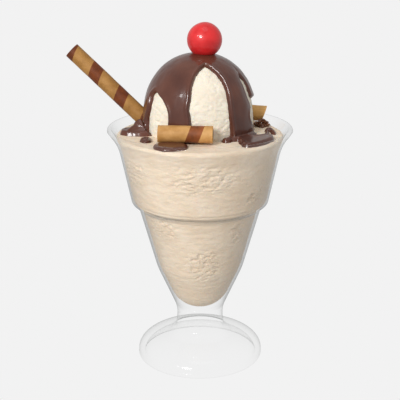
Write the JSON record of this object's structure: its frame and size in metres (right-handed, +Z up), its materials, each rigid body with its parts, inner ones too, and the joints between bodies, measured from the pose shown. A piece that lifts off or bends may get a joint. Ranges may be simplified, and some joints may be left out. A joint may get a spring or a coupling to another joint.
{
  "type": "ice cream sundae in a glass",
  "caption": "Ice cream sundae in a footed tulip glass, with a chocolate-coated scoop, a cherry and wafer rolls.",
  "frame": {"origin": "bottom centre of the whole sundae's box, on the surface that the glass stands on", "axes": "+Z up along the glass, -Y to the front, +X to the right; the long wafer roll leans out to -X"},
  "size_m": [0.1302, 0.106, 0.199],
  "materials": {
    "clear_glass": "clear pressed glass, fire-polished and smooth",
    "ice_cream": "vanilla ice cream, dense and cold, with a scooped, slightly torn surface and a soft sheen",
    "chocolate_sauce": "thick glossy chocolate sauce",
    "wafer": "baked rolled wafer with a dark spiral stripe, dry and matt",
    "candied_cherry": "glossy candied cherry skin"
  },
  "bodies": {
    "root": {"glass": "clear_glass", "ice_cream_fill": "ice_cream", "ice_cream_scoop": "ice_cream", "chocolate_sauce": "chocolate_sauce", "chocolate_drop_front": "chocolate_sauce", "chocolate_drop_left": "chocolate_sauce", "chocolate_flakes": "chocolate_sauce", "wafer_roll_long": "wafer", "wafer_roll_front": "wafer", "wafer_roll_back": "wafer", "cherry": "candied_cherry"}
  },
  "joints": []
}
